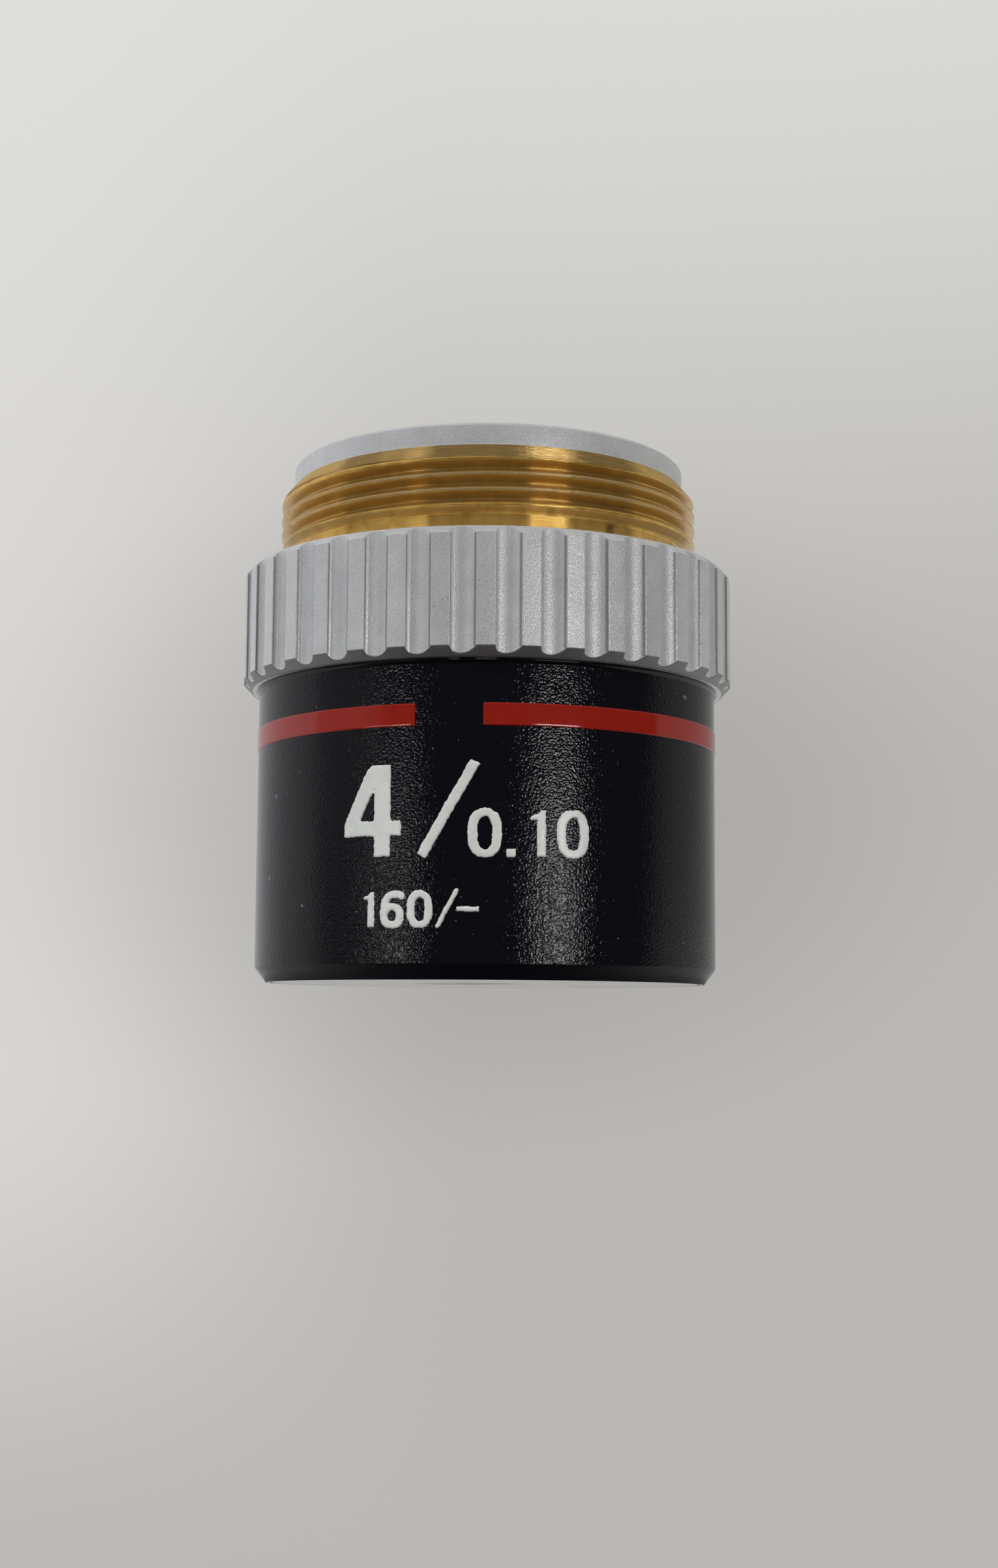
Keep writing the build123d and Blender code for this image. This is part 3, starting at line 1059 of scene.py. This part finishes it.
for end in ("front", "rear"):
    lensPair(end, lenses)
print("lenses made")

# The other turned pieces keep their CAD form, with welded facets and softened edges.
softening = {
    "weld": 0.0005,                        # mm
    "flat": 0.6,                           # degrees, facets that become one face
    "corner": 35,                          # degrees, edges that are softened
}
dressed = {                                # finish and width of the soft edge, mm
    "lens_barrel": ("nose_plate", 0.03),
    "glare_baffle": ("blackened_brass", 0.03),
    "jam_ring": ("blackened_brass", 0.04),
    "stack_ring": ("blackened_brass", 0.04),
    "rear_lens_ring": ("blackened_brass", 0.04),
    "front_cell": ("blackened_brass", 0.03),
}


def dressedPiece(node, finish, edge):
    words = node.split("_")
    name = words[0] + "".join(word.capitalize() for word in words[1:])
    copy = cadNodes[node].data.copy()
    net = bmesh.new()
    net.from_mesh(copy)
    bmesh.ops.remove_doubles(net, verts=net.verts, dist=softening["weld"] * mm)
    bmesh.ops.dissolve_limit(net, verts=net.verts, edges=net.edges,
                             angle_limit=math.radians(softening["flat"]))
    net.to_mesh(copy)
    net.free()
    mesh = modified(copy, "BEVEL", {"width": edge * mm, "segments": 2, "limit_method": "ANGLE",
                                    "angle_limit": math.radians(softening["corner"])})
    mesh.name = name
    addPiece(name, settleMesh(mesh), finishes[finish], replaced=[node])


slotOf = {part["node"]: part["material_slot"] for part in frame["record"]["subparts"]}
for node, (finish, edge) in dressed.items():
    dressedPiece(node, finish, edge)

for name, node in cadNodes.items():
    node.data.materials.clear()
    node.data.materials.append(finishes[slotOf[name]])
print("inner pieces dressed")


# Stage: a pale floor, open under the nose and seen only from above, as the camera stands a little below it
stage = {
    "colour": (0.62, 0.615, 0.60),
    "mirrored": (0.03, 0.03, 0.03),        # what the object sees of it in front: a painted shadow
    "mirroredBeside": (0.92, 0.92, 0.92),
    "besideFrom": -9.2,                    # mm along Y
    "besideSoft": 2.4,
    "rough": 0.9,
    "gloss": 0.1,
    "hole": 10.40,                         # mm, inside the nose's edge
    "reach": 1500.0,
    "low": -0.01,
}


def floorPiece(stage):
    segments = 128
    points = [onAxis(radius, stage["low"], 2 * math.pi * step / segments)
              for radius in (stage["hole"], stage["reach"]) for step in range(segments)]
    faces = [(step, step + segments, (step + 1) % segments + segments, (step + 1) % segments)
             for step in range(segments)]
    floor = bpy.data.objects.new("floor", meshOf("floor", points, faces))
    bpy.context.scene.collection.objects.link(floor)
    material, board = newFinish("floorPaper")
    seen = board.add("ShaderNodeLightPath", out="Is Camera Ray")
    x, y, z = board.split(board.millimetres())
    # Rays other than the camera's see the floor painted dark in front, a painted shadow, and pale beside
    # and behind the object.
    beside = y.above(stage["besideFrom"], stage["besideSoft"])
    mirrored = board.mix(beside, stage["mirrored"], stage["mirroredBeside"])
    paper = board.shader({"Base Color": board.mix(seen, mirrored, stage["colour"]),
                          "Roughness": stage["rough"], "Specular IOR Level": stage["gloss"]})
    under = board.add("ShaderNodeNewGeometry", out="Backfacing")
    clear = board.add("ShaderNodeBsdfTransparent")
    board.surface(paper, clear, under)
    floor.data.materials.append(material)
    return floor


floor = floorPiece(stage)

# Light: low wide lamps in front, on both sides, and pale surroundings that are dark in front
lamps = {
    "rightLamp": {"azimuth": 33.6, "width": 130, "tall": 34, "level": 11.5},
    "leftLamp": {"azimuth": -39.4, "width": 70, "tall": 28, "level": 6.0},
    "leftGlow": {"azimuth": -52.5, "width": 92, "tall": 28, "level": 2.2},
}
lampDistance = 350                         # mm
unlit = bpy.data.collections.new("unlitByLamps")     # or the floor glares under them
unlit.objects.link(floor)
unlit.collection_objects[0].light_linking.link_state = "EXCLUDE"


def hangLamp(name, lamp):
    data = bpy.data.lights.new(name, "AREA")
    data.shape = "RECTANGLE"
    data.size = lamp["width"] * mm
    data.size_y = lamp["tall"] * mm
    data.energy = lamp["level"] * math.pi * data.size * data.size_y
    piece = bpy.data.objects.new(name, data)
    angle = front + math.radians(lamp["azimuth"])
    piece.location = [c * mm for c in onAxis(lampDistance, lamp["tall"] / 2, angle)]
    inward = Vector((-math.cos(angle), -math.sin(angle), 0))
    piece.rotation_euler = inward.to_track_quat("-Z", "Y").to_euler()
    piece.visible_camera = False
    piece.light_linking.receiver_collection = unlit
    bpy.context.scene.collection.objects.link(piece)


for name, lamp in lamps.items():
    hangLamp(name, lamp)

# A pair is where a turn from one tone to the next lies, along a unit direction, and how soft it is.
surroundings = {
    "backgroundHigh": (0.72, 0.725, 0.70),
    "backgroundLow": (0.497, 0.482, 0.465),
    "backgroundRise": (0.32, 0.22),
    "backgroundLeft": (0.76, 0.75, 0.74),
    "leftBefore": (-0.12, 0.12),
    "leftOver": (-0.14, 0.12),
    "halo": 0.15,                          # painted soft shadow on the background round the object
    "haloReach": (0.19, 0.09),
    "fillLeft": (1.12, 1.12, 1.14),
    "fillRight": (0.56, 0.56, 0.52),
    "fillBehind": (0.54, 0.54, 0.54),
    "paleLeft": (0.62, 0.625, 0.645),
    "paleRight": (0.355, 0.355, 0.34),
    "above": (0.50, 0.50, 0.50),
    "overhead": (0.18, 0.18, 0.18),
    "dark": (0.050, 0.050, 0.060),
    "dim": (0.32, 0.325, 0.34),            # between the left lamp and the pale side
    "dimBefore": (-0.80, 0.10),
    "aboveFrom": (0.45, 0.20),
    "overheadFrom": (0.88, 0.08),
    "sideFrom": (0.03, 0.03),              # the pale sides begin
    "paleTurn": (0.0, 0.8),                # from the left one to the right one
    "fillTurn": (0.28, 0.72),
    "behindFrom": (0.0, 0.4),
}


def makeWorld(look):
    world = bpy.data.worlds.new("surroundings")
    world.use_nodes = True
    bpy.context.scene.world = world
    board = Board(world.node_tree)
    x, y, z = board.split(board.add("ShaderNodeTexCoord", out="Generated"))
    background = board.mix(z.above(*look["backgroundRise"]), look["backgroundLow"], look["backgroundHigh"])
    left = x.below(*look["leftBefore"]) * z.above(*look["leftOver"])
    background = board.mix(left * 0.7, background, look["backgroundLeft"])
    # A painted soft shadow on the background round the object
    away = (x * x + ((z - 0.10) * 1.5) ** 2) ** 0.5
    background = board.mix(away.below(*look["haloReach"]) * look["halo"], background, (0, 0, 0))
    pale = board.mix(x.above(*look["paleTurn"]), look["paleLeft"], look["paleRight"])
    ahead = board.mix(x.below(*look["dimBefore"]), look["dark"], look["dim"])
    ahead = board.mix(z.above(*look["aboveFrom"]), ahead, look["above"])
    ahead = board.mix(z.above(*look["overheadFrom"]), ahead, look["overhead"])
    mirrored = board.mix(y.above(*look["sideFrom"]), ahead, pale)
    fill = board.mix(x.above(*look["fillTurn"]), look["fillLeft"], look["fillRight"])
    fill = board.mix(y.above(*look["behindFrom"]), fill, look["fillBehind"])
    direct, glossy, through = (board.add("ShaderNodeLightPath", out=f"Is {kind} Ray")
                               for kind in ("Camera", "Glossy", "Transmission"))
    colour = board.mix(direct + through, board.mix(glossy, fill, mirrored), background)
    sky = board.add("ShaderNodeBackground", None, {"Color": colour, "Strength": 1.0})
    board.add("ShaderNodeOutputWorld", None, {"Surface": sky})


makeWorld(surroundings)

# The camera that the outline and the ellipses of the photograph fit
viewpoint = {
    "place": (0.0, -99.857, -1.766),       # mm
    "yaw": 0.3507,                         # degrees, towards +X
    "pitch": 6.528,
    "roll": 0.359,
    "lens": 47.61,
    "sensor": 36.0,
    "nearest": 5.0,                        # what is seen begins here, mm
}


def setCamera(view):
    yaw, pitch, roll = (math.radians(view[key]) for key in ("yaw", "pitch", "roll"))
    ahead = Vector((math.sin(yaw) * math.cos(pitch), math.cos(yaw) * math.cos(pitch), math.sin(pitch)))
    level = Vector((math.cos(yaw), -math.sin(yaw), 0))
    right = level * math.cos(roll) + level.cross(ahead) * math.sin(roll)
    turn = Matrix((right, right.cross(ahead), -ahead)).transposed()
    data = bpy.data.cameras.new("camera")
    data.lens = view["lens"]
    data.sensor_width = view["sensor"]
    data.clip_start = view["nearest"] * mm
    camera = bpy.data.objects.new("camera", data)
    camera.matrix_world = Matrix.Translation(Vector(view["place"]) * mm) @ turn.to_4x4()
    bpy.context.scene.collection.objects.link(camera)
    bpy.context.scene.camera = camera


setCamera(viewpoint)
bpy.context.scene.view_settings.view_transform = "Standard"
print("stage, light and camera set")
